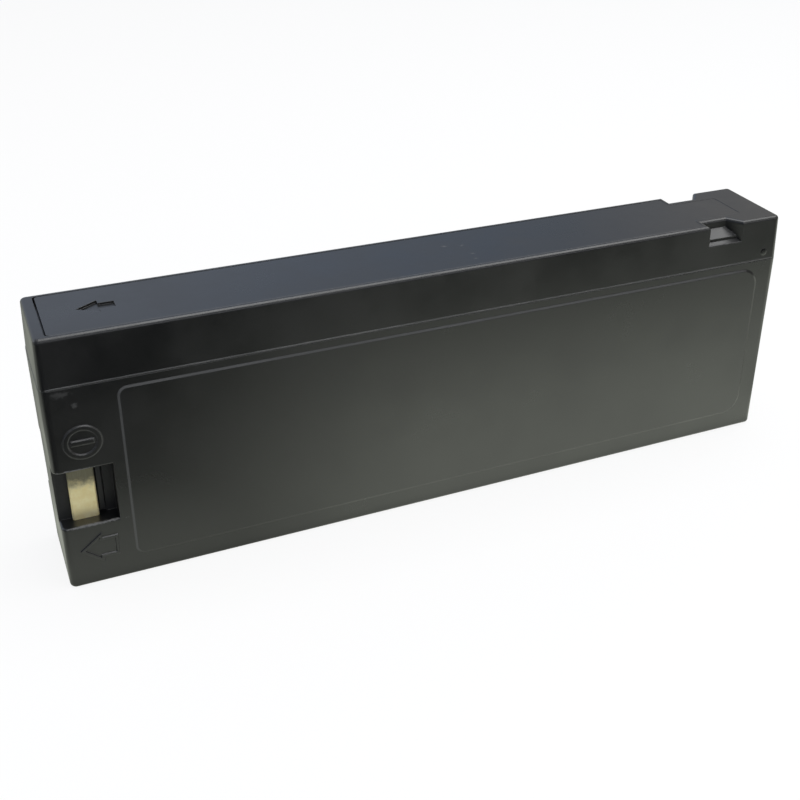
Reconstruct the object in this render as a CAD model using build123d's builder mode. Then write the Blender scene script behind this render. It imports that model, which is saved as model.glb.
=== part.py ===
from build123d import *
from math import atan2, cos, degrees, radians, sin
import os

# A flat sealed lead-acid battery of the slide-in kind, in millimetres.
# The origin is the centre of the underside. X runs along the length, the front
# with the minus contact faces -Y, and Z is up.

os.makedirs("parts", exist_ok=True)

# Outside of the container and the cover. The width is over the raised panels.
length = 182.0
width = 23.5
height = 61.0
cover_height = 11.45
corner_radius = 1.6
bottom_radius = 1.4
top_radius = 0.9
# How far each side falls in from the seam, down the container and up the cover
container_draft = 0.4
cover_draft = 0.35
seam_step = 0.1

# Walls and cells
cell_count = 6
side_wall = 1.8
end_wall = 2.0
floor_wall = 2.0
partition = 1.4
cell_corner = 0.8
rest_width = 1.2
rest_height = 0.8

# The ridge on the container's rim and the cover's groove over it
ridge_outset = 0.9
ridge_inset = 0.4
ridge_height = 0.8
groove_play = 0.12

# Contact bays, one in each long face, open to the left end
bay_length = 12.5
bay_bottom = 15.75
bay_height = 14.0
bay_depth = 4.4
bay_wall = 1.5
bay_edge_radius = 0.45

# Contact strips
contact_left = 3.1
contact_width = 5.6
contact_stand = 1.2
contact_thickness = 0.4
contact_bend = 0.5
flange_gap = 0.15
tab_width = 4.2
tab_lap = 2.0
tab_reach = 10.1
tab_hole_radius = 0.7
slot_play = 0.15

# The guide rib beside each contact and the groove that it stands in
guide_gap = 0.35
guide_rib_width = 0.95
guide_rib_stand = 0.5
guide_rib_foot = 0.9
guide_groove_depth = 0.8

# Raised panel on each long face
panel_left = 15.0
panel_right = 5.5
panel_bottom = 5.15
panel_below_seam = 1.7
panel_rise = 0.25
panel_slope = 0.55
panel_left_radius = 2.2
panel_right_radius = 5.0

# Raised marks on each long face
mark_rise = 0.3
mark_slope = 0.15
mark_root = 0.3
ring_left = 7.0
ring_z = 36.5
ring_radius = 4.05
ring_stroke = 1.2
sign_length = 4.9
sign_width = 1.3
arrow_left = 3.3
arrow_z = 9.35
arrow_head_length = 5.0
arrow_head_width = 8.0
arrow_shaft_length = 3.3
arrow_shaft_width = 5.2
arrow_stroke = 0.75

# Top plate, its recess and the gallery under it
plate_thickness = 1.3
plate_sink = 0.05
plate_left = 2.8
plate_side = 1.8
plate_end_gap = 0.4
plate_gap = 0.1
plate_corner = 0.8
plate_edge_radius = 0.15
tongue_right = 9.0
shoulder_wall = 1.3
tongue_wall = 1.8
gallery_depth = 4.25
gallery_ledge = 2.5
tongue_ledge = 1.4
cap_side_gap = 0.85
shoulder_ledge = 1.0
gallery_end_ledge = 1.6
deck = 1.5
core_wall = 1.4
core_height = 4.2

# Recessed arrow on the top plate
top_arrow_left = 10.35
top_arrow_y = 0.45
top_arrow_depth = 0.5
top_arrow_head_length = 4.65
top_arrow_head_width = 5.8
top_arrow_shaft_length = 3.3
top_arrow_shaft_width = 2.8

# Latch notches, one in each long edge near the right end
notch_right = 11.4
notch_length = 10.2
notch_slant = 3.1
notch_drop = 5.4
notch_ledge = 1.6
notch_riser = 1.4
notch_ramp_rise = 1.75

# Valves
vent_bore_radius = 1.1
chimney_radius = 2.1
chimney_height = 2.0
cap_radius = 3.3
cap_crown = 0.9
cap_lift = 0.3
cap_edge_radius = 0.5
boss_radius = 1.6
boss_play = 0.1

# Posts, their seals and the leads
post_from_wall = 2.2
post_radius = 1.3
post_above_deck = 1.9
post_play = 0.1
seal_radius = 1.9
seal_depth = 1.0
lead_radius = 0.8
lead_hole_play = 0.4
lead_bend = 2.4
lead_gentle_bend = 4.0
lead_overlap = 4.0
crossing_start = 3.0
crossing_length = 9.0

# Plates, straps and separators
negative_count = 4
positive_count = 3
negative_thickness = 1.8
positive_thickness = 2.3
plate_inset = 0.5
separator_inset = 0.2
stack_play = 0.2
separator_above_plates = 1.1
lug_height = 2.3
lug_width = 4.6
strap_thickness = 2.0
strap_end_play = 0.5
tombstone_thickness = 1.2
tombstone_height = 2.1
strap_below_connector = 2.5
connector_radius = 1.3
connector_below_seam = 2.25
connector_play = 0.02

# How far a cutter reaches past the surface that it cuts
beyond = 2.0

# Worked out from the sizes above
half_length = length / 2
half_width = width / 2 - panel_rise
seam_z = height - cover_height
container_angle = degrees(atan2(container_draft, seam_z))
cover_angle = degrees(atan2(cover_draft, cover_height))
bay_right_x = bay_length - half_length
bay_back_y = half_width - bay_depth
bay_top = bay_bottom + bay_height
chamber_left_x = end_wall - half_length
chamber_right_x = bay_right_x + bay_wall
cells_left_x = chamber_right_x + partition
cells_right_x = half_length - end_wall
cell_length = (cells_right_x - cells_left_x - (cell_count - 1) * partition) / cell_count
cell_width = 2 * (half_width - side_wall)
cell_pitch = cell_length + partition
cell_lefts = [cells_left_x + index * cell_pitch for index in range(cell_count)]
cell_centres = [left + cell_length / 2 for left in cell_lefts]
chamber_length = chamber_right_x - chamber_left_x
chamber_x = (chamber_left_x + chamber_right_x) / 2

contact_x = contact_left + contact_width / 2 - half_length
contact_right_x = contact_x + contact_width / 2
contact_front_y = bay_back_y + contact_stand
flange_top = bay_top - flange_gap
tab_front_y = contact_front_y - contact_thickness
tab_back_y = tab_front_y - contact_thickness
tab_bottom = flange_top - tab_lap
tab_top = bay_top + tab_reach

plate_recess = plate_thickness + plate_sink
recess_floor = height - plate_recess
gallery_floor = recess_floor - gallery_depth
deck_underside = gallery_floor - deck
plate_half = half_width - plate_side
notch_right_x = half_length - notch_right
notch_left_x = notch_right_x - notch_length
gallery_tongue_half = cap_radius + cap_side_gap
tongue_half = gallery_tongue_half + tongue_ledge
notch_back_y = tongue_half + tongue_wall
notch_depth = half_width - notch_back_y
notch_floor = height - notch_drop
shoulder_x = notch_left_x - shoulder_wall
tongue_end_x = half_length - tongue_right
plate_left_x = plate_left - half_length
gallery_half = plate_half - gallery_ledge

cap_top = gallery_floor + chimney_height + cap_crown
lead_z = gallery_floor + lead_radius
# Posts and leads stand midway between the valve caps and the gallery's sides
lane = (cap_radius + gallery_half) / 2

stack_length = cell_length - 2 * stack_play
separator_count = negative_count + positive_count - 1
separator_thickness = (
    stack_length - negative_count * negative_thickness - positive_count * positive_thickness
) / separator_count
plate_period = negative_thickness + positive_thickness + 2 * separator_thickness
element_bottom = floor_wall + rest_height
connector_z = seam_z - connector_below_seam
strap_bottom = connector_z - strap_below_connector
plate_top = strap_bottom - lug_height
separator_top = plate_top + separator_above_plates


def write_piece(piece, name):
    """Labels a finished piece and writes its STEP file."""
    piece.part.label = name
    export_step(piece.part, f"parts/{name}.step")


def windows(grow=0.0, mode=Mode.ADD):
    """Outlines of the terminal chamber and the cells, each side grown by the given amount."""
    corner = cell_corner + grow
    with Locations(*[(centre, 0) for centre in cell_centres]):
        RectangleRounded(cell_length + 2 * grow, cell_width + 2 * grow, corner, mode=mode)
    with Locations((chamber_x, 0)):
        RectangleRounded(chamber_length + 2 * grow, cell_width + 2 * grow, corner, mode=mode)


def rim_ridge(play=0.0):
    """The ridge that runs along the middle of every wall, each side grown by the play."""
    inset = ridge_outset - play
    RectangleRounded(length - 2 * inset, 2 * (half_width - inset), corner_radius - inset)
    windows(ridge_inset - play, mode=Mode.SUBTRACT)


def face_plane(side):
    """Plane on a drafted long face: local X runs along it and local Y goes up from the seam."""
    tilt = radians(container_angle)
    outward = (0, side * cos(tilt), -sin(tilt))
    return Plane(origin=(0, side * half_width, seam_z), x_dir=(-side, 0, 0), z_dir=outward)


def raise_outline(outline, rise, slope=0.0):
    """Raises a sketch from the face that it lies on, with its roots sunk into the wall."""
    extrude(outline, amount=rise, taper=degrees(atan2(slope, rise)))
    extrude(outline, amount=-mark_root)


def arrow_outline(tip, direction, head_length, head_width, shaft_length, shaft_width):
    """A block arrow from its tip, with its tail towards the given direction along X."""
    x, y = tip
    neck = x + direction * head_length
    tail = neck + direction * shaft_length
    with BuildLine() as outline:
        Polyline(
            (x, y),
            (neck, y + head_width / 2),
            (neck, y + shaft_width / 2),
            (tail, y + shaft_width / 2),
            (tail, y - shaft_width / 2),
            (neck, y - shaft_width / 2),
            (neck, y - head_width / 2),
            close=True,
        )
    make_face(outline.edges())


def stepped_outline(left, shoulder, end, half, narrow_half):
    """A long strip that narrows at its right end to pass between the latch notches."""
    with BuildLine() as outline:
        Polyline(
            (left, -half),
            (shoulder, -half),
            (shoulder, -narrow_half),
            (end, -narrow_half),
            (end, narrow_half),
            (shoulder, narrow_half),
            (shoulder, half),
            (left, half),
            close=True,
        )
    make_face(outline.edges())
    fillet(vertices(), radius=plate_corner)


# Container
with BuildPart() as container:
    with BuildSketch():
        foot_length = length - 2 * container_draft
        foot_width = 2 * (half_width - container_draft)
        RectangleRounded(foot_length, foot_width, corner_radius - container_draft / 2)
    extrude(amount=seam_z, taper=-container_angle)
    fillet(container.edges().group_by(Axis.Z)[0], radius=bottom_radius - container_draft)

    # Cells, and the terminal chamber that narrows between the contact bays
    with BuildSketch(Plane.XY.offset(floor_wall)):
        with Locations(*[(centre, 0) for centre in cell_centres]):
            RectangleRounded(cell_length, cell_width, cell_corner)
    extrude(amount=seam_z - floor_wall, mode=Mode.SUBTRACT)
    with BuildSketch(Plane.XY.offset(floor_wall)):
        with Locations((chamber_x, 0)):
            RectangleRounded(chamber_length, 2 * (bay_back_y - bay_wall), cell_corner)
    extrude(amount=seam_z - floor_wall, mode=Mode.SUBTRACT)
    for low, high in ((floor_wall, bay_bottom - bay_wall), (bay_top + bay_wall, seam_z)):
        with BuildSketch(Plane.XY.offset(low)):
            with Locations((chamber_x, 0)):
                RectangleRounded(chamber_length, cell_width, cell_corner)
        extrude(amount=high - low, mode=Mode.SUBTRACT)

    # Two rests on each cell's floor carry the plates
    with BuildSketch(Plane.XY.offset(floor_wall)):
        with Locations(*[(centre, y) for centre in cell_centres for y in (-lane, lane)]):
            Rectangle(cell_length, rest_width)
    extrude(amount=rest_height)

    # Ridge along the rim
    with BuildSketch(Plane.XY.offset(seam_z)):
        rim_ridge()
    extrude(amount=ridge_height)

    # Contact bays, with their outer edges rounded all the way round the end
    bay_reach = bay_depth + beyond
    bay_span = bay_length + beyond
    with BuildSketch(Plane.XY.offset(bay_bottom)):
        for side in (-1, 1):
            with Locations((bay_right_x - bay_span / 2, side * (bay_back_y + bay_reach / 2))):
                Rectangle(bay_span, bay_reach)
    extrude(amount=bay_height, mode=Mode.SUBTRACT)
    for level in (bay_bottom, bay_top):
        rims = container.edges().filter_by_position(Axis.Z, level, level)
        rims = rims.filter_by(
            lambda edge: edge.center().X < chamber_left_x - end_wall / 2
            or abs(edge.center().Y) > half_width - container_draft - corner_radius / 2
        )
        fillet(rims, radius=bay_edge_radius)

    # A groove in each bay's back wall, with the guide rib standing in it
    groove_right = contact_right_x + 2 * guide_gap + guide_rib_width
    groove_length = groove_right - contact_right_x
    rib_x = contact_right_x + guide_gap + guide_rib_width / 2
    groove_y = bay_back_y - guide_groove_depth
    with BuildSketch(Plane.XY.offset(bay_bottom)):
        for side in (-1, 1):
            with Locations((contact_right_x + groove_length / 2, side * (groove_y + bay_back_y) / 2)):
                Rectangle(groove_length, guide_groove_depth)
    extrude(amount=bay_height, mode=Mode.SUBTRACT)
    rib_reach = guide_groove_depth + guide_rib_stand
    with BuildSketch(Plane.XY.offset(bay_bottom + guide_rib_foot)):
        for side in (-1, 1):
            with Locations((rib_x, side * (groove_y + rib_reach / 2))):
                Rectangle(guide_rib_width, rib_reach)
    extrude(amount=bay_height - guide_rib_foot)

    # Slots in the bays' roofs let the contacts' tabs up into the chamber
    with BuildSketch(Plane.XY.offset(bay_top)):
        for side in (-1, 1):
            with Locations((contact_x, side * (tab_back_y + tab_front_y) / 2)):
                Rectangle(tab_width + 2 * slot_play, contact_thickness + 2 * slot_play)
    extrude(amount=bay_wall, mode=Mode.SUBTRACT)

    # Holes near the top of the partitions for the welded connectors between cells
    for index in range(cell_count - 1):
        wall_x = cell_lefts[index] + cell_length
        side = 1 if index % 2 == 0 else -1
        with BuildSketch(Plane.YZ.offset(wall_x)):
            with Locations((side * lane, connector_z)):
                Circle(connector_radius + connector_play)
        extrude(amount=partition, mode=Mode.SUBTRACT)

    # Raised panel, polarity mark and arrow on both long faces
    for side in (-1, 1):
        hand = -side
        plane = face_plane(side)
        panel_length = length - panel_left - panel_right
        panel_height = seam_z - panel_bottom - panel_below_seam
        with BuildSketch(plane, mode=Mode.PRIVATE) as panel:
            with Locations((hand * (panel_left - panel_right) / 2, -panel_below_seam - panel_height / 2)):
                Rectangle(panel_length, panel_height)
            fillet(panel.vertices().group_by(Axis.X)[0 if hand > 0 else -1], radius=panel_left_radius)
            fillet(panel.vertices().group_by(Axis.X)[-1 if hand > 0 else 0], radius=panel_right_radius)
        raise_outline(panel.sketch, panel_rise, panel_slope)

        mark_place = (hand * (ring_left - half_length), ring_z - seam_z)
        with BuildSketch(plane, mode=Mode.PRIVATE) as mark:
            with Locations(mark_place):
                Circle(ring_radius)
                Circle(ring_radius - ring_stroke, mode=Mode.SUBTRACT)
                Rectangle(sign_length, sign_width)
                if side > 0:
                    Rectangle(sign_width, sign_length)
        raise_outline(mark.sketch, mark_rise, mark_slope)

        tip = (hand * (arrow_left - half_length), arrow_z - seam_z)
        with BuildSketch(plane, mode=Mode.PRIVATE) as arrow:
            arrow_outline(
                tip, hand, arrow_head_length, arrow_head_width, arrow_shaft_length, arrow_shaft_width
            )
            offset(amount=-arrow_stroke, kind=Kind.INTERSECTION, mode=Mode.SUBTRACT)
        raise_outline(arrow.sketch, mark_rise, mark_slope)
write_piece(container, "container")

# Cutter for the front latch notch: its section along Y and Z, then its plan
with BuildPart() as notch:
    with BuildSketch(Plane.YZ.offset(notch_left_x)):
        with BuildLine():
            Polyline(
                (-half_width - beyond, notch_floor),
                (-half_width + notch_ledge, notch_floor),
                (-half_width + notch_ledge, notch_floor + notch_riser),
                (-notch_back_y, notch_floor + notch_riser + notch_ramp_rise),
                (-notch_back_y, height + beyond),
                (-half_width - beyond, height + beyond),
                close=True,
            )
        make_face()
    extrude(amount=notch_length + beyond)
    slant_run = notch_slant * (1 + beyond / notch_depth)
    with BuildSketch(Plane.XY.offset(notch_floor)):
        with BuildLine():
            Polyline(
                (notch_left_x, -notch_back_y),
                (notch_right_x - notch_slant, -notch_back_y),
                (notch_right_x - notch_slant + slant_run, -half_width - beyond),
                (notch_left_x, -half_width - beyond),
                close=True,
            )
        make_face()
    extrude(amount=notch_drop + beyond, mode=Mode.INTERSECT)

# Cover
with BuildPart() as cover:
    with BuildSketch(Plane.XY.offset(seam_z)):
        cover_width = 2 * (half_width - seam_step)
        RectangleRounded(length - 2 * seam_step, cover_width, corner_radius - seam_step)
    extrude(amount=cover_height, taper=cover_angle)

    # Latch notches, then one rounding along the whole top edge
    add(notch.part, mode=Mode.SUBTRACT)
    mirror(notch.part, about=Plane.XZ, mode=Mode.SUBTRACT)
    fillet(cover.edges().group_by(Axis.Z)[-1], radius=top_radius)

    # Underside: one pocket over the chamber and one over each cell, so that the
    # partitions go on up to the deck, with slim cores beside the gallery
    with BuildSketch(Plane.XY.offset(seam_z)):
        windows()
    extrude(amount=deck_underside - seam_z, mode=Mode.SUBTRACT)
    core_width = cell_width / 2 - gallery_half - core_wall
    with BuildSketch(Plane.XY.offset(deck_underside)):
        for index, centre in enumerate(cell_centres):
            cell_right = min(cell_lefts[index] + cell_length, shoulder_x)
            core_length = cell_right - cell_lefts[index]
            for side in (-1, 1):
                place = (cell_lefts[index] + core_length / 2, side * (cell_width - core_width) / 2)
                with Locations(place):
                    Rectangle(core_length, core_width)
    extrude(amount=core_height, mode=Mode.SUBTRACT)
    with BuildSketch(Plane.XY.offset(seam_z)):
        rim_ridge(groove_play)
    extrude(amount=ridge_height + groove_play, mode=Mode.SUBTRACT)

    # Recess for the top plate, and the gallery for valves and leads under it
    with BuildSketch(Plane.XY.offset(recess_floor)):
        stepped_outline(
            plate_left_x,
            shoulder_x + plate_gap,
            tongue_end_x + plate_gap,
            plate_half + plate_gap,
            tongue_half + plate_gap,
        )
    extrude(amount=plate_recess, mode=Mode.SUBTRACT)
    with BuildSketch(Plane.XY.offset(gallery_floor)):
        stepped_outline(
            plate_left_x + gallery_end_ledge,
            shoulder_x - shoulder_ledge,
            tongue_end_x - tongue_ledge,
            gallery_half,
            gallery_tongue_half,
        )
    extrude(amount=gallery_depth, mode=Mode.SUBTRACT)

    # Vent chimneys, post holes with wells for the seals, and slots for the leads
    with BuildSketch(Plane.XY.offset(gallery_floor)):
        with Locations(*[(centre, 0) for centre in cell_centres]):
            Circle(chimney_radius)
    extrude(amount=chimney_height)
    with Locations(*[(centre, 0, gallery_floor + chimney_height) for centre in cell_centres]):
        Hole(vent_bore_radius, depth=chimney_height + deck)
    post_places = [(left + post_from_wall, -lane) for left in (cell_lefts[0], cell_lefts[-1])]
    with Locations(*[(x, y, gallery_floor) for x, y in post_places]):
        CounterBoreHole(post_radius + post_play, seal_radius, seal_depth, depth=deck)
    with BuildSketch(Plane.XY.offset(deck_underside)):
        with Locations(*[(contact_x + lead_bend / 2, side * lane) for side in (-1, 1)]):
            SlotCenterToCenter(lead_bend, 2 * (lead_radius + lead_hole_play))
    extrude(amount=deck, mode=Mode.SUBTRACT)
write_piece(cover, "cover")

# Top plate, pushed to the right end of its recess
with BuildPart() as top_plate:
    with BuildSketch(Plane.XY.offset(recess_floor)):
        stepped_outline(
            plate_left_x + plate_end_gap, shoulder_x, tongue_end_x, plate_half, tongue_half
        )
    extrude(amount=plate_thickness)
    fillet(top_plate.edges().group_by(Axis.Z)[-1], radius=plate_edge_radius)
    with BuildSketch(Plane.XY.offset(recess_floor + plate_thickness)):
        arrow_outline(
            (top_arrow_left - half_length, top_arrow_y),
            1,
            top_arrow_head_length,
            top_arrow_head_width,
            top_arrow_shaft_length,
            top_arrow_shaft_width,
        )
    extrude(amount=-top_arrow_depth, mode=Mode.SUBTRACT)
    with BuildSketch(Plane.XY.offset(recess_floor)):
        with Locations(*[(centre, 0) for centre in cell_centres]):
            Circle(boss_radius)
    extrude(amount=cap_top + boss_play - recess_floor)
write_piece(top_plate, "top_plate")

# Rubber valve caps over the chimneys
for index, centre in enumerate(cell_centres):
    with BuildPart() as valve_cap:
        with BuildSketch(Plane.XY.offset(gallery_floor + cap_lift)):
            with Locations((centre, 0)):
                Circle(cap_radius)
        extrude(amount=cap_top - gallery_floor - cap_lift)
        fillet(valve_cap.edges().group_by(Axis.Z)[-1], radius=cap_edge_radius)
        with BuildSketch(Plane.XY.offset(gallery_floor + cap_lift)):
            with Locations((centre, 0)):
                Circle(chimney_radius)
        extrude(amount=chimney_height - cap_lift, mode=Mode.SUBTRACT)
    write_piece(valve_cap, f"valve_cap_{index + 1}")

# Cast resin rings that close the wells round the posts
for name, (x, y) in zip(("negative", "positive"), post_places):
    with BuildPart() as post_seal:
        with BuildSketch(Plane.XY.offset(gallery_floor - seal_depth)):
            with Locations((x, y)):
                Circle(seal_radius)
                Circle(post_radius, mode=Mode.SUBTRACT)
        extrude(amount=seal_depth)
    write_piece(post_seal, f"{name}_post_seal")

# Contact strips: a channel that stands against the bay's back wall, with a tab lapped
# behind its web that goes up through the roof
for name, side in (("negative", -1), ("positive", 1)):
    with BuildPart() as contact:
        with BuildSketch(Plane.XY.offset(bay_bottom)) as channel:
            with Locations((contact_x, side * (bay_back_y + contact_stand / 2))):
                Rectangle(contact_width, contact_stand)
            fillet(channel.vertices().group_by(Axis.Y)[0 if side < 0 else -1], radius=contact_bend)
            with Locations((contact_x, side * (bay_back_y + (contact_stand - contact_thickness) / 2))):
                Rectangle(
                    contact_width - 2 * contact_thickness,
                    contact_stand - contact_thickness,
                    mode=Mode.SUBTRACT,
                )
        extrude(amount=flange_top - bay_bottom)
        with BuildSketch(Plane.XY.offset(tab_bottom)):
            with Locations((contact_x, side * (tab_back_y + tab_front_y) / 2)):
                Rectangle(tab_width, contact_thickness)
        extrude(amount=tab_top - tab_bottom)
        hole_z = tab_top - tab_width / 2
        with BuildSketch(Plane.XZ):
            with Locations((contact_x, hole_z)):
                Circle(tab_hole_radius)
        extrude(amount=half_width, both=True, mode=Mode.SUBTRACT)
    write_piece(contact, f"{name}_contact")

# Insulated leads, from the posts along the gallery and down to the contacts' tabs
lead_low_z = tab_top - lead_overlap
lead_tab_y = tab_back_y - lead_radius
down_z = deck_underside - lead_bend
shift_z = lead_low_z + lead_overlap
starts = [(x - post_radius, y) for x, y in post_places]
crossing_x = starts[1][0] - crossing_start
lead_routes = {
    "negative": ([starts[0]], -1),
    "positive": ([starts[1], (crossing_x, -lane), (crossing_x - crossing_length, lane)], 1),
}
for name, (gallery_points, side) in lead_routes.items():
    points = [(x, y, lead_z) for x, y in gallery_points]
    points.append((contact_x, side * lane, lead_z))
    points.append((contact_x, side * lane, down_z))
    points.append((contact_x, side * lead_tab_y, shift_z))
    points.append((contact_x, side * lead_tab_y, lead_low_z))
    radii = [lead_gentle_bend] * (len(gallery_points) - 1) + [lead_bend] * 3
    with BuildPart() as lead:
        with BuildLine() as route:
            FilletPolyline(*points, radius=radii)
        with BuildSketch(Plane(origin=route.line @ 0, z_dir=route.line % 0)):
            Circle(lead_radius)
        sweep()
    print(name, "lead radii", radii)
    write_piece(lead, f"{name}_lead")


def stack_slabs(cell_left, count, first, thickness, slab_width, top):
    """Stands a row of equal slabs in a cell, from its rests up to the given height."""
    with BuildSketch(Plane.XY.offset(element_bottom)) as feet:
        for number in range(count):
            x = cell_left + stack_play + first + number * plate_period + thickness / 2
            with Locations((x, 0)):
                Rectangle(thickness, slab_width)
    extrude(feet.sketch, amount=top - element_bottom)


def cast_strap(cell_left, count, first, thickness, side):
    """Lugs from the plates' tops, and the strap that joins them on one side of the cell."""
    with BuildSketch(Plane.XY.offset(plate_top)) as lugs:
        for number in range(count):
            x = cell_left + stack_play + first + number * plate_period + thickness / 2
            with Locations((x, side * lane)):
                Rectangle(thickness, lug_width)
    extrude(lugs.sketch, amount=strap_bottom - plate_top)
    with BuildSketch(Plane.XY.offset(strap_bottom)) as strap:
        with Locations((cell_left + cell_length / 2, side * lane)):
            Rectangle(cell_length - 2 * strap_end_play, lug_width)
    extrude(strap.sketch, amount=strap_thickness)


def strap_end(cell_left, side, is_right, has_connector):
    """The upright end of a strap at a partition, with the connector that passes through it."""
    strap_top = strap_bottom + strap_thickness
    if is_right:
        face_x = cell_left + cell_length - strap_end_play
    else:
        face_x = cell_left + strap_end_play + tombstone_thickness
    with BuildSketch(Plane.XY.offset(strap_top)) as upright:
        with Locations((face_x - tombstone_thickness / 2, side * lane)):
            Rectangle(tombstone_thickness, lug_width)
    extrude(upright.sketch, amount=tombstone_height)
    if has_connector:
        with BuildSketch(Plane.YZ.offset(face_x)) as connector:
            with Locations((side * lane, connector_z)):
                Circle(connector_radius)
        extrude(connector.sketch, amount=partition + 2 * strap_end_play)


def post(x, y):
    """The round post that rises from a strap through the deck."""
    with BuildSketch(Plane.XY.offset(strap_bottom)) as foot:
        with Locations((x, y)):
            Circle(post_radius)
    extrude(foot.sketch, amount=gallery_floor + post_above_deck - strap_bottom)


# Plate groups and separators of every cell
for index, left in enumerate(cell_lefts):
    plate_width = cell_width - 2 * plate_inset
    positive_first = negative_thickness + separator_thickness
    negative_side = -1 if index % 2 == 0 else 1
    is_first = index == 0
    is_last = index == cell_count - 1

    with BuildPart() as negative_plates:
        stack_slabs(left, negative_count, 0, negative_thickness, plate_width, plate_top)
        cast_strap(left, negative_count, 0, negative_thickness, negative_side)
        if is_first:
            post(*post_places[0])
        else:
            strap_end(left, negative_side, is_right=False, has_connector=False)
    write_piece(negative_plates, f"cell_{index + 1}_negative_plates")

    with BuildPart() as positive_plates:
        stack_slabs(left, positive_count, positive_first, positive_thickness, plate_width, plate_top)
        cast_strap(left, positive_count, positive_first, positive_thickness, -negative_side)
        if is_last:
            post(*post_places[1])
        else:
            strap_end(left, -negative_side, is_right=True, has_connector=True)
    write_piece(positive_plates, f"cell_{index + 1}_positive_plates")

    with BuildPart() as separators:
        sheet_width = cell_width - 2 * separator_inset
        for first in (negative_thickness, positive_first + positive_thickness):
            stack_slabs(left, positive_count, first, separator_thickness, sheet_width, separator_top)
    write_piece(separators, f"cell_{index + 1}_separators")
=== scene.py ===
"""Looks of a flat sealed lead-acid battery: finishes, cement, mould mark, latch lips and studio."""

import logging
import math
from dataclasses import dataclass
from enum import Enum

import bmesh
import bpy
from mathutils import Matrix, Vector


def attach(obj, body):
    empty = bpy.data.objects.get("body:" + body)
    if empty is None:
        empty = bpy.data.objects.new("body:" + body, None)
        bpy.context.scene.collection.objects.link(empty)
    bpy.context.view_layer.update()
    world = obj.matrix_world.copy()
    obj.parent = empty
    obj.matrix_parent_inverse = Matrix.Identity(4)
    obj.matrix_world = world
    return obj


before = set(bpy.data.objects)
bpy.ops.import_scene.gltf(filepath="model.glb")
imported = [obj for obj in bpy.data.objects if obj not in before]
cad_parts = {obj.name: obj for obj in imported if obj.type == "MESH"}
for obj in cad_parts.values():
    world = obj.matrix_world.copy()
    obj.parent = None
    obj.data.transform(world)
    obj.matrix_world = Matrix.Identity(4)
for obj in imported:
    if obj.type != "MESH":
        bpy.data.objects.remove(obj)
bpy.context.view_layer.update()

MM = 0.001
ROOT = "root"
WHITE = (1.0, 1.0, 1.0)

Colour = tuple[float, float, float]
Point = tuple[float, float, float]
Pair = tuple[float, float]
Socket = bpy.types.NodeSocket

log = logging.getLogger("battery")


class Slot(Enum):
    """A material slot name of the record, which nothing in this script uses."""

    COVER = "cover_plastic"


@dataclass(frozen=True)
class Noise:
    """A noise: features per millimetre, octaves of finer noise and how strong those are."""

    scale: float
    detail: float
    roughness: float


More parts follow.
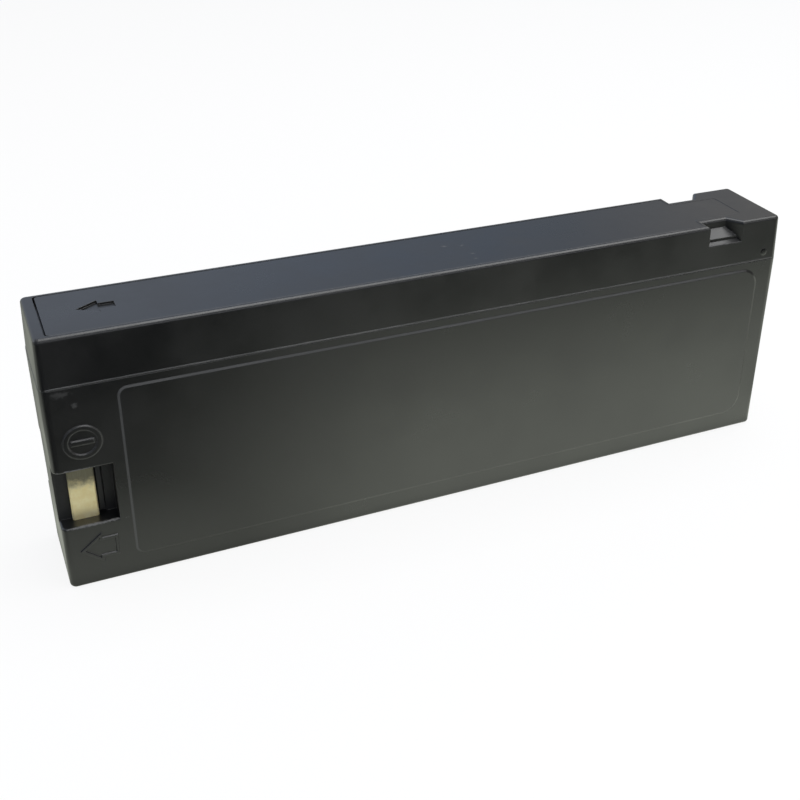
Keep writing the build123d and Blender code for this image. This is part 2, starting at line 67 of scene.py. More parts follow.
class NodeGraph:
    """Adds and links the nodes of one material, world or geometry tree."""

    def __init__(self, tree: bpy.types.NodeTree) -> None:
        """Keeps the tree that the nodes go into.

        Args:
            tree: The node tree to fill.
        """
        self.tree = tree

    def add(
        self, kind: str, inputs: dict[object, object] | None = None, **settings: object
    ) -> bpy.types.Node:
        """Adds a node.

        Args:
            kind: The node's type name.
            inputs: Values or output sockets for its inputs, by name or index.
            **settings: Properties of the node itself.

        Returns:
            The new node.
        """
        node = self.tree.nodes.new(kind)
        for name, value in settings.items():
            setattr(node, name, value)
        for key, value in (inputs or {}).items():
            if isinstance(value, Socket):
                self.tree.links.new(value, node.inputs[key])
            else:
                node.inputs[key].default_value = value
        return node

    def math(self, operation: str, first: object, second: object = 0.0) -> Socket:
        """Adds a Math node and returns its result."""
        return self.add("ShaderNodeMath", {0: first, 1: second}, operation=operation).outputs[0]

    def vector(self, operation: str, first: object, second: object = (0.0, 0.0, 0.0)) -> Socket:
        """Adds a Vector Math node and returns its result, a number for a length or a dot product."""
        node = self.add("ShaderNodeVectorMath", {0: first, 1: second}, operation=operation)
        return node.outputs["Value" if operation in ("LENGTH", "DOT_PRODUCT") else "Vector"]

    def split(self, vector: object) -> tuple[Socket, ...]:
        """Splits a vector into its three parts."""
        return tuple(self.add("ShaderNodeSeparateXYZ", {0: vector}).outputs)

    def ramp(
        self, value: object, low: float, high: float, to_low: float = 0.0, to_high: float = 1.0
    ) -> Socket:
        """Maps a value smoothly from one range to another.

        Args:
            value: The socket to map.
            low: Where the source range starts.
            high: Where the source range ends.
            to_low: Result at the start.
            to_high: Result at the end.

        Returns:
            The mapped value's socket.
        """
        inputs = {0: value, 1: low, 2: high, 3: to_low, 4: to_high}
        return self.add("ShaderNodeMapRange", inputs, interpolation_type="SMOOTHSTEP").outputs[0]

    def mix_value(self, factor: object, first: object, second: object) -> Socket:
        """Mixes two numbers by a factor and returns the result."""
        return self.add("ShaderNodeMix", {0: factor, 2: first, 3: second}, data_type="FLOAT").outputs[0]

    def mix_colour(self, factor: object, first: object, second: object) -> Socket:
        """Mixes two colours by a factor and returns the result."""
        pair = [value if isinstance(value, Socket) else (*value, 1.0) for value in (first, second)]
        return self.add("ShaderNodeMix", {0: factor, 6: pair[0], 7: pair[1]}, data_type="RGBA").outputs[2]

    def away(self, place: object, centre: Point, reach: Point, turn: float = 0.0) -> Socket:
        """Measures how far a place is from a centre, in reaches of an ellipsoid.

        Args:
            place: The coordinates.
            centre: The ellipsoid's centre.
            reach: Its three half sizes.
            turn: How far it is turned about the vertical, in degrees.

        Returns:
            The distance's socket, which is 1 on the ellipsoid.
        """
        moved = self.vector("SUBTRACT", place, centre)
        if turn:
            inputs = {"Vector": moved, "Angle": math.radians(turn)}
            moved = self.add("ShaderNodeVectorRotate", inputs, rotation_type="Z_AXIS").outputs[0]
        return self.vector("LENGTH", self.vector("DIVIDE", moved, reach))

    def bands(self, value: object, stops: tuple[tuple[float, Colour], ...]) -> Socket:
        """Maps a value to a row of colours.

        Args:
            value: The socket to map.
            stops: Each colour with its place from 0 to 1.

        Returns:
            The colour's socket.
        """
        node = self.add("ShaderNodeValToRGB", {0: value})
        elements = node.color_ramp.elements
        while len(elements) < len(stops):
            elements.new(0.5)
        for element, (place, colour) in zip(elements, stops):
            element.position = place
            element.color = (*colour, 1.0)
        return node.outputs[0]

    def stretch(self, vector: object, scale: Point) -> Socket:
        """Scales coordinates and returns the result."""
        return self.add("ShaderNodeMapping", {"Vector": vector, "Scale": scale}).outputs[0]

    def noise(self, vector: object, noise: Noise) -> Socket:
        """Adds a noise texture on coordinates in millimetres and returns its grey value."""
        inputs = {
            "Vector": vector,
            "Scale": noise.scale,
            "Detail": noise.detail,
            "Roughness": noise.roughness,
        }
        return self.add("ShaderNodeTexNoise", inputs).outputs[0]

    def bump(self, height: Socket, depth: float, under: Socket | None = None) -> Socket:
        """Turns a height into a normal.

        Args:
            height: The height, from 0 to 1.
            depth: What a height of 1 is, in millimetres.
            under: The normal that it is added to.

        Returns:
            The normal's socket.
        """
        node = self.add("ShaderNodeBump", {"Strength": 1.0, "Distance": depth * MM, "Height": height})
        if under is not None:
            self.tree.links.new(under, node.inputs["Normal"])
        return node.outputs[0]


class Surface:
    """A material under construction: its graph, its shader and coordinates in millimetres."""

    def __init__(self, name: str) -> None:
        """Starts the material.

        Args:
            name: The material's name.
        """
        self.material = bpy.data.materials.new(name)
        self.material.use_nodes = True
        self.material.node_tree.nodes.clear()
        self.graph = NodeGraph(self.material.node_tree)
        self.shader = self.graph.add("ShaderNodeBsdfPrincipled")
        self.graph.add("ShaderNodeOutputMaterial", {"Surface": self.shader.outputs[0]})
        place = self.graph.add("ShaderNodeTexCoord").outputs["Object"]
        self.place = self.graph.stretch(place, (1 / MM, 1 / MM, 1 / MM))

    def finish(self, colour: Socket, rough: Socket, normal: Socket) -> bpy.types.Material:
        """Links what varies over the surface to the shader.

        Args:
            colour: The base colour.
            rough: The roughness.
            normal: The normal.

        Returns:
            The finished material.
        """
        for name, socket in (("Base Color", colour), ("Roughness", rough), ("Normal", normal)):
            self.graph.tree.links.new(socket, self.shader.inputs[name])
        return self.material


@dataclass(frozen=True)
class ScuffOrHighlight:
    """A small scuff, or a painted highlight on a lip, as a soft ellipsoid in millimetres, broken up by dust.
    """

    centre: Point
    reach: Point
    turn: float
    strength: float
    dust_range: Pair = (0.3, 0.7)
    ragged: Pair = (0.45, -0.25)
    edge: Pair = (1.0, 0.45)

    def mask(self, graph: NodeGraph, place: Socket, dust: Socket) -> Socket:
        """Masks the scuff or the painted highlight.

        Args:
            graph: The material's graph.
            place: Coordinates in millimetres.
            dust: Fine noise that breaks the mark up.

        Returns:
            The mask's socket.
        """
        away = graph.away(place, self.centre, self.reach, self.turn)
        uneven = graph.math("ADD", away, graph.ramp(dust, *self.dust_range, *self.ragged))
        return graph.ramp(uneven, *self.edge, 0.0, self.strength)


@dataclass(frozen=True)
class PanelBorderHighlight:
    """The painted highlight along the left and top sides of the raised panels, in millimetres."""

    centre: Pair = (4.75, 26.5)
    half: Pair = (80.75, 21.35)
    corner: float = 2.2
    inset: float = 0.275
    width: Pair = (0.36, 0.12)
    left_edges: Pair = (-73.0, -75.2)
    left_strength: float = 0.95
    top_edges: Pair = (46.2, 47.2)
    top_strength: float = 0.55
    right_edges: Pair = (82.0, 76.0)
    bottom_edges: Pair = (5.3, 7.0)

    def mask(self, graph: NodeGraph, place: Socket) -> Socket:
        """Masks the line, by the distance from a rectangle with round corners.

        Args:
            graph: The material's graph.
            place: Coordinates in millimetres.

        Returns:
            The mask's socket.
        """
        along, _, height = graph.split(place)
        over = []
        for value, middle, half in zip((along, height), self.centre, self.half):
            offset = graph.math("ABSOLUTE", graph.math("SUBTRACT", value, middle))
            over.append(graph.math("SUBTRACT", offset, half - self.corner))
        outside = [graph.math("MAXIMUM", value, 0.0) for value in over]
        joined = graph.add("ShaderNodeCombineXYZ", {0: outside[0], 2: outside[1]}).outputs[0]
        far = graph.vector("LENGTH", joined)
        near = graph.math("MINIMUM", graph.math("MAXIMUM", *over), 0.0)
        distance = graph.math("ADD", graph.math("ADD", far, near), self.inset - self.corner)
        line = graph.ramp(graph.math("ABSOLUTE", distance), *self.width)
        left = graph.ramp(along, *self.left_edges, 0.0, self.left_strength)
        top = graph.ramp(height, *self.top_edges, 0.0, self.top_strength)
        top = graph.math("MULTIPLY", top, graph.ramp(along, *self.right_edges))
        above = graph.ramp(height, *self.bottom_edges)
        side = graph.math("MULTIPLY", graph.math("MAXIMUM", left, top), above)
        return graph.math("MULTIPLY", line, side)


@dataclass(frozen=True)
class BayDulling:
    """The rougher walls of the two contact bays, which are not polished, in millimetres."""

    amount: float = 0.3
    depth: Pair = (10.6, 9.8)
    left: Pair = (-90.7, -90.2)
    right: Pair = (-77.4, -77.8)
    floor: Pair = (15.9, 16.4)

    def mask(self, graph: NodeGraph, place: Socket) -> Socket:
        """Gives the roughness that is added in the bays.

        Args:
            graph: The material's graph.
            place: Coordinates in millimetres.

        Returns:
            The added roughness's socket.
        """
        along, across, height = graph.split(place)
        sunk = graph.ramp(graph.math("ABSOLUTE", across), *self.depth, 0.0, self.amount)
        raised = graph.ramp(height, *self.floor)
        between = graph.math("MULTIPLY", graph.ramp(along, *self.left), graph.ramp(along, *self.right))
        return graph.math("MULTIPLY", graph.math("MULTIPLY", sunk, raised), between)


@dataclass(frozen=True)
class RoundZone:
    """An ellipsoid in which moulded edges are rounded wider, in millimetres."""

    centre: Point
    reach: Point
    radius: float = 0.42
    edge: Pair = (1.05, 1.0)


@dataclass(frozen=True)
class MouldedPlastic:
    """Black moulded plastic with a fine grain, faint clouds, specks of dust, edges rubbed paler, and painted
    highlights on some lips and panel borders.
    """

    name: str
    colour: Colour = (0.0052, 0.0055, 0.0059)
    cloud_colour: Colour = (0.0078, 0.0079, 0.0081)
    wear_and_highlight_colour: Colour = (0.105, 0.105, 0.102)
    wear_and_highlight_share: float = 0.55
    roughness: float = 0.34
    roughness_swing: float = 0.07
    roughness_range: Pair = (0.3, 0.7)
    wear_and_highlight_roughness: float = 0.18
    ior: float = 1.62
    clouds: Noise = Noise(0.055, 4.0, 0.55)
    cloud_range: Pair = (0.35, 0.68)
    dust: Noise = Noise(1.7, 3.0, 0.65)
    speck_range: Pair = (0.66, 0.74)
    speck_strength: float = 0.22
    grain: Noise = Noise(3.2, 2.0, 0.6)
    grain_depth: float = 0.006
    sink: Noise = Noise(0.085, 1.0, 0.4)
    sink_depth: float = 0.035
    edge_radius: float = 0.16
    edge_range: Pair = (0.982, 0.90)
    edge_dust: Pair = (0.38, 0.62)
    edge_strengths: Pair = (0.3, 0.9)
    bevel_samples: int = 8
    round_zone: RoundZone | None = None
    bays: BayDulling | None = None
    border_highlight: PanelBorderHighlight | None = None
    scuffs_and_highlights: tuple[ScuffOrHighlight, ...] = ()

    def build(self) -> bpy.types.Material:
        """Makes the material.

        Returns:
            The new material.
        """
        surface = Surface(self.name)
        graph, place = surface.graph, surface.place
        clouds = graph.noise(place, self.clouds)
        dust = graph.noise(place, self.dust)
        edges, soft_normal = self.find_edges(graph, place)
        specks = graph.ramp(dust, *self.speck_range, 0.0, self.speck_strength)
        worn = graph.math("MULTIPLY", edges, graph.ramp(dust, *self.edge_dust, *self.edge_strengths))
        wear_and_highlight = graph.math("MAXIMUM", worn, specks)
        # Scuffs, and painted highlights on lips, pale the colour like the worn edges.
        for scuff_or_highlight in self.scuffs_and_highlights:
            wear_and_highlight = graph.math("MAXIMUM", wear_and_highlight, scuff_or_highlight.mask(graph, place, dust))
        # A painted highlight along the left and top borders of the panels.
        if self.border_highlight is not None:
            wear_and_highlight = graph.math("MAXIMUM", wear_and_highlight, self.border_highlight.mask(graph, place))
        base = graph.mix_colour(graph.ramp(clouds, *self.cloud_range), self.colour, self.cloud_colour)
        # The paler colour carries worn edges, dust, scuffs and painted highlights.
        colour = graph.mix_colour(graph.math("MULTIPLY", wear_and_highlight, self.wear_and_highlight_share), base, self.wear_and_highlight_colour)
        swing = self.roughness_swing
        rough = graph.ramp(clouds, *self.roughness_range, self.roughness - swing, self.roughness + swing)
        rough = graph.math("ADD", rough, graph.math("MULTIPLY", wear_and_highlight, self.wear_and_highlight_roughness))
        if self.bays is not None:
            rough = graph.math("ADD", rough, self.bays.mask(graph, place))
        grain = graph.bump(graph.noise(place, self.grain), self.grain_depth, soft_normal)
        sink = graph.bump(graph.noise(place, self.sink), self.sink_depth, grain)
        surface.shader.inputs["IOR"].default_value = self.ior
        return surface.finish(colour, rough, sink)

    def find_edges(self, graph: NodeGraph, place: Socket) -> tuple[Socket, Socket]:
        """Finds the moulded edges.

        Args:
            graph: The material's graph.
            place: Coordinates in millimetres.

        Returns:
            A mask that is 1 on an edge, and a normal that rounds it.
        """
        radius = self.edge_radius * MM
        zone = self.round_zone
        if zone is not None:
            away = graph.away(place, zone.centre, zone.reach)
            radius = graph.ramp(away, *zone.edge, radius, zone.radius * MM)
        soft = graph.add("ShaderNodeBevel", {"Radius": radius}, samples=self.bevel_samples).outputs[0]
        flat = graph.add("ShaderNodeNewGeometry").outputs["Normal"]
        return graph.ramp(graph.vector("DOT_PRODUCT", soft, flat), *self.edge_range), soft


@dataclass(frozen=True)
class PlatedBrass:
    """Dull plated brass, brighter below and greyer towards the top of its bay."""

    name: str
    colour: Colour = (0.94, 0.80, 0.43)
    worn_colour: Colour = (1.0, 0.90, 0.56)
    upper_grey_colour: Colour = (0.16, 0.155, 0.11)
    metallic: float = 0.65
    clouds: Noise = Noise(0.5, 4.0, 0.6)
    worn_range: Pair = (0.35, 0.7)
    strokes: Noise = Noise(1.0, 3.0, 0.6)
    stroke_stretch: Point = (6.0, 6.0, 0.35)
    stroke_depth: float = 0.006
    noise_range: Pair = (0.3, 0.7)
    grey_heights: Pair = (22.9, 26.3)
    grey_wander: float = 0.7
    grey_amount: float = 0.93
    grey_roughness: float = 0.2
    roughness: float = 0.50
    roughness_swing: Pair = (-0.07, 0.09)

    def build(self) -> bpy.types.Material:
        """Makes the material.

        Returns:
            The new material.
        """
        surface = Surface(self.name)
        graph, place = surface.graph, surface.place
        clouds = graph.noise(place, self.clouds)
        strokes = graph.noise(graph.stretch(place, self.stroke_stretch), self.strokes)
        wander = graph.ramp(clouds, *self.noise_range, -self.grey_wander, self.grey_wander)
        height = graph.math("ADD", graph.split(place)[2], wander)
        greying = graph.ramp(height, *self.grey_heights, 0.0, self.grey_amount)
        metal = graph.mix_colour(graph.ramp(clouds, *self.worn_range), self.colour, self.worn_colour)
        colour = graph.mix_colour(greying, metal, self.upper_grey_colour)
        swing = graph.ramp(strokes, *self.noise_range, *self.roughness_swing)
        rough = graph.math("ADD", swing, self.roughness)
        rough = graph.math("ADD", rough, graph.math("MULTIPLY", greying, self.grey_roughness))
        surface.shader.inputs["Metallic"].default_value = self.metallic
        return surface.finish(colour, rough, graph.bump(strokes, self.stroke_depth))


@dataclass(frozen=True)
class GrainedFinish:
    """A finish of two tones broken up by noise, for the pieces inside the case."""

    name: str
    light: Colour
    dark: Colour
    roughness: float
    scale: float
    stretch: Point = (1.0, 1.0, 1.0)
    detail: float = 4.0
    finer: float = 0.6
    noise_range: Pair = (0.3, 0.7)
    roughness_swing: float = 0.08
    depth: float = 0.02

    def build(self) -> bpy.types.Material:
        """Makes the material.

        Returns:
            The new material.
        """
        surface = Surface(self.name)
        graph = surface.graph
        pulled = graph.stretch(surface.place, self.stretch)
        grain = graph.noise(pulled, Noise(self.scale, self.detail, self.finer))
        colour = graph.mix_colour(graph.ramp(grain, *self.noise_range), self.dark, self.light)
        swing = self.roughness_swing
        rough = graph.ramp(grain, *self.noise_range, self.roughness + swing, self.roughness - swing)
        return surface.finish(colour, rough, graph.bump(grain, self.depth))


class InnerFinish(Enum):
    """The finishes of the pieces inside the case."""

    LEAD = GrainedFinish("lead_grey", (0.34, 0.35, 0.37), (0.20, 0.21, 0.23), 0.55, 1.2)
    DIOXIDE = GrainedFinish("lead_dioxide_brown", (0.17, 0.095, 0.06), (0.10, 0.055, 0.04), 0.7, 1.4)
    MAT = GrainedFinish("glass_mat_white", (0.84, 0.84, 0.82), (0.70, 0.70, 0.68), 0.85, 2.5, (0.3, 1.0, 1.0))
    RESIN = GrainedFinish("resin_black", (0.024, 0.024, 0.025), (0.012, 0.012, 0.012), 0.2, 0.6)
    RUBBER = GrainedFinish("valve_rubber_black", (0.036, 0.036, 0.036), (0.020, 0.020, 0.020), 0.75, 2.0)
    BLACK = GrainedFinish("insulation_black", (0.026, 0.026, 0.026), (0.014, 0.014, 0.014), 0.35, 1.0)
    RED = GrainedFinish("insulation_red", (0.50, 0.024, 0.02), (0.38, 0.014, 0.012), 0.35, 1.0)


@dataclass
class Case:
    """The container, the cover and the top plate, with lines of cement and a mould mark, in millimetres."""

    half_length: float = 91.0
    half_width: float = 11.5
    seam_height: float = 49.55
    seam_step: float = 0.1
    corner_radius: float = 1.6
    bead_radius: float = 0.30
    bead_wander: float = 0.06
    bead_lift: float = 0.28
    shoulder_x: float = 68.15
    shoulder_run: float = 6.05
    tongue_end_x: float = 82.05
    plate_half: float = 9.75
    tongue_half: float = 5.6
    plate_corner: float = 0.8
    plate_bead: float = 0.60
    plate_bead_height: float = 60.375
    mark_x: float = 86.6
    mark_height: float = 51.75
    mark_radius: float = 1.05
    mark_steps: int = 32
    mark_profile: tuple[Pair, ...] = (
        (0.0, 0.06),
        (0.3, 0.057),
        (0.55, 0.045),
        (0.75, 0.026),
        (0.9, 0.004),
        (1.0, -0.03),
    )
    cover_slope: float = 0.35 / 11.45
    case_finish: MouldedPlastic = MouldedPlastic(
        "case_plastic_black",
        round_zone=RoundZone((-84.0, 0.0, 36.5), (4.6, 30.0, 4.6)),
        bays=BayDulling(),
        # Painted highlight on the panels' left and top borders.
        border_highlight=PanelBorderHighlight(),
        scuffs_and_highlights=(
            ScuffOrHighlight((-87.0, -11.5, 48.4), (2.6, 0.8, 0.9), 0.0, 0.40),
            ScuffOrHighlight((-84.5, -11.5, 45.3), (0.8, 0.8, 0.8), 0.0, 0.55),
            # The next two are painted highlights on the front lips of the bays' roof and floor.
            ScuffOrHighlight((-86.5, -11.3, 29.90), (6.5, 0.8, 0.45), 0.0, 1.8),
            ScuffOrHighlight((-84.0, -11.3, 15.62), (7.5, 0.8, 0.45), 0.0, 1.8),
        ),
    )
    cover_finish: MouldedPlastic = MouldedPlastic("cover_plastic_black", roughness=0.36)
    plate_finish: MouldedPlastic = MouldedPlastic(
        "plate_plastic_black",
        roughness=0.32,
        scuffs_and_highlights=(
            ScuffOrHighlight((3.3, 2.6, 60.95), (1.0, 0.35, 0.5), 25.0, 0.75),
            ScuffOrHighlight((7.5, 1.5, 60.95), (0.8, 0.40, 0.5), -20.0, 0.65),
            ScuffOrHighlight((7.8, -3.7, 60.95), (0.6, 0.45, 0.5), 0.0, 0.65),
            ScuffOrHighlight((7.4, -6.6, 60.95), (0.7, 0.35, 0.5), 40.0, 0.6),
        ),
    )
    # The seam cement is paler than the plastic: a painted highlight along the seam.
    seam_highlight_finish: MouldedPlastic = MouldedPlastic(
        "cement_black", colour=(0.045, 0.045, 0.044), cloud_colour=(0.07, 0.07, 0.068), roughness=0.36
    )
    plate_cement_finish: MouldedPlastic = MouldedPlastic("plate_cement_black", roughness=0.32)
    mark_finish: MouldedPlastic = MouldedPlastic("mould_mark_black", roughness=0.3)

    def dress(self) -> None:
        """Gives the mouldings their plastic."""
        paint("container", self.case_finish.build())
        paint("cover", self.cover_finish.build())
        paint("top_plate", self.plate_finish.build())

    def build_cement(self) -> list[bpy.types.Object]:
        """Runs the cement round the case under the cover, and round the tongue of the top plate.

        Returns:
            The two lines of cement.
        """
        tree = bead_tree("cement_line")
        inset = self.bead_radius + self.bead_wander / 2
        x = self.half_length - inset
        y = self.half_width - inset
        z = self.seam_height + self.bead_lift
        around = [(-x, -y, z), (x, -y, z), (x, y, z), (-x, y, z)]
        seam_inputs = {
            "Corner": (self.corner_radius - inset) * MM,
            "Bead": self.bead_radius * MM,
            "Wander": self.bead_wander * MM,
            "Finish": self.seam_highlight_finish.build(),
        }
        seam = grow("seam_cement", tree, seam_inputs, line_mesh(around, True))
        half = [
            (self.shoulder_x - self.shoulder_run, self.plate_half),
            (self.shoulder_x, self.plate_half),
            (self.shoulder_x, self.tongue_half),
            (self.tongue_end_x, self.tongue_half),
        ]
        height = self.plate_bead_height
        tongue = [(px, -py, height) for px, py in half] + [(px, py, height) for px, py in reversed(half)]
        plate_inputs = {
            "Corner": self.plate_corner * MM,
            "Bead": self.plate_bead * MM,
            "Wander": 0.0,
            "Finish": self.plate_cement_finish.build(),
        }
        plate = grow("plate_cement", tree, plate_inputs, line_mesh(tongue, False))
        return [settle(seam), settle(plate)]

    def build_mould_mark(self) -> bpy.types.Object:
        """Makes the small round mould mark on the front of the cover, a low dome.

        Returns:
            The mark.
        """
        mesh = bmesh.new()
        rings = []
        above_seam = self.mark_height - self.seam_height
        face_y = -(self.half_width - self.seam_step - above_seam * self.cover_slope)
        for share, rise in self.mark_profile:
            ring = []
            for step in range(self.mark_steps if share else 1):
                angle = 2 * math.pi * step / self.mark_steps
                x = self.mark_x + self.mark_radius * share * math.cos(angle)
                z = self.mark_height + self.mark_radius * share * math.sin(angle)
                y = face_y - rise + (z - self.mark_height) * self.cover_slope
                ring.append(mesh.verts.new((x * MM, y * MM, z * MM)))
            rings.append(ring)
        for step in range(self.mark_steps):
            after = (step + 1) % self.mark_steps
            mesh.faces.new((rings[0][0], rings[1][step], rings[1][after]))
            for inner, outer in zip(rings[1:], rings[2:]):
                mesh.faces.new((inner[step], outer[step], outer[after], inner[after]))
        mesh.normal_update()
        piece = mesh_piece("mould_mark", mesh)
        piece.data.materials.append(self.mark_finish.build())
        return settle(piece)


@dataclass
class LatchNotch:
    """The sloping lips that lie on the ledges of the two latch notches, in millimetres."""

    half_width: float = 11.5
    left_x: float = 69.4
    right_x: float = 79.6
    slant: float = 3.1
    depth: float = 4.15
    floor_height: float = 55.6
    ledge: float = 1.6
    rise: float = 0.72
    edge_radius: float = 0.28
    edge_lift: float = 0.02
    edge_flatness: float = 0.8
    edge_angles: tuple[int, ...] = (90, 76, 62, 48, 34, 20)
    face_y: float = 11.2
    root: float = 0.05
    finish: MouldedPlastic = MouldedPlastic("latch_lip_black", roughness=0.36)

    def section(self) -> list[Pair]:
        """Draws the wedge across the ledge, from the riser to its rounded front edge and back below.

        Returns:
            The section's points: how far each is from the middle plane, and its height.
        """
        foot_y = self.half_width - self.ledge
        slope = self.rise / (self.face_y - foot_y)
        points = [(foot_y - self.root, self.floor_height + self.rise + self.root * slope)]
        for angle in self.edge_angles:
            turn = math.radians(angle)
            y = self.face_y - self.edge_radius + self.edge_radius * math.cos(turn)
            z = self.floor_height + self.edge_lift + self.edge_radius * math.sin(turn) * self.edge_flatness
            points.append((y, z))
        below = self.floor_height - self.root
        return [*points, (self.face_y, below), (foot_y - self.root, below)]

    def build_lips(self) -> bpy.types.Object:
        """Makes both lips as one piece.

        Returns:
            The piece.
        """
        section = self.section()
        mesh = bmesh.new()
        for side in (-1, 1):
            left = [mesh.verts.new(self.corner(y, z, side, False)) for y, z in section]
            right = [mesh.verts.new(self.corner(y, z, side, True)) for y, z in section]
            for index in range(len(section)):
                after = (index + 1) % len(section)
                mesh.faces.new((left[index], left[after], right[after], right[index]))
            mesh.faces.new(left)
            mesh.faces.new(list(reversed(right)))
        bmesh.ops.recalc_face_normals(mesh, faces=mesh.faces[:])
        piece = mesh_piece("latch_lips", mesh)
        piece.data.shade_flat()
        piece.data.materials.append(self.finish.build())
        return settle(piece)

    def corner(self, y: float, z: float, side: int, at_right: bool) -> Point:
        """Places a point of the section at the notch's left wall or its slanted right wall.

        Args:
            y: How far the point is from the middle plane.
            z: Its height.
            side: -1 for the front notch, 1 for the back one.
            at_right: Whether it is at the right wall.

        Returns:
            The point, in metres.
        """
        wall = self.right_x - self.slant * (self.half_width - y) / self.depth
        x = wall + self.root if at_right else self.left_x - self.root
        return (x * MM, side * y * MM, z * MM)


@dataclass
class Terminals:
    """The two contact strips in their bays."""

    names: tuple[str, ...] = ("negative_contact", "positive_contact")
    finish: PlatedBrass = PlatedBrass("contact_brass_dull")

    def dress(self) -> None:
        """Gives the contacts their plating."""
        surface = self.finish.build()
        for name in self.names:
            paint(name, surface)


@dataclass
class Inside:
    """Everything that the case closes in: plates, separators, leads, seals and valves."""

    cell_count: int = 6

    def dress(self) -> None:
        """Gives each inner piece its finish."""
        cells = range(1, self.cell_count + 1)
        pieces = {
            InnerFinish.LEAD: [f"cell_{number}_negative_plates" for number in cells],
            InnerFinish.DIOXIDE: [f"cell_{number}_positive_plates" for number in cells],
            InnerFinish.MAT: [f"cell_{number}_separators" for number in cells],
            InnerFinish.RUBBER: [f"valve_cap_{number}" for number in cells],
            InnerFinish.RESIN: ["negative_post_seal", "positive_post_seal"],
            InnerFinish.BLACK: ["negative_lead"],
            InnerFinish.RED: ["positive_lead"],
        }
        for finish, names in pieces.items():
            surface = finish.value.build()
            for name in names:
                paint(name, surface)


@dataclass(frozen=True)
class FloorStrip:
    """A strip of the floor in the battery's reflections, in metres."""

    edges: Pair
    reach: Pair
    strength: float

    def mask(self, graph: NodeGraph, along: Socket, ahead: Socket) -> Socket:
        """Masks the strip.

        Args:
            graph: The floor material's graph.
            along: How far a spot is to the right, or to the left.
            ahead: How far it is in front.

        Returns:
            The mask's socket, which goes up to the strip's strength.
        """
        strength = graph.ramp(ahead, *self.reach, 0.0, self.strength)
        return graph.math("MULTIPLY", graph.ramp(along, *self.edges), strength)


@dataclass(frozen=True)
class Softbox:
    """A rectangular lamp: its place, what it faces and its sides in metres, and its power in watts."""

    name: str
    place: Point
    aim: Point
    sides: Pair
    power: float

    def hang(self) -> None:
        """Adds the lamp to the scene."""
        lamp = bpy.data.lights.new(self.name, "AREA")
        lamp.shape = "RECTANGLE"
        lamp.size, lamp.size_y = self.sides
        lamp.energy = self.power
        lamp.color = WHITE
        holder = bpy.data.objects.new(self.name, lamp)
        holder.location = self.place
        holder.rotation_mode = "QUATERNION"
        holder.rotation_quaternion = (Vector(self.aim) - Vector(self.place)).to_track_quat("-Z", "Y")
        bpy.context.scene.collection.objects.link(holder)


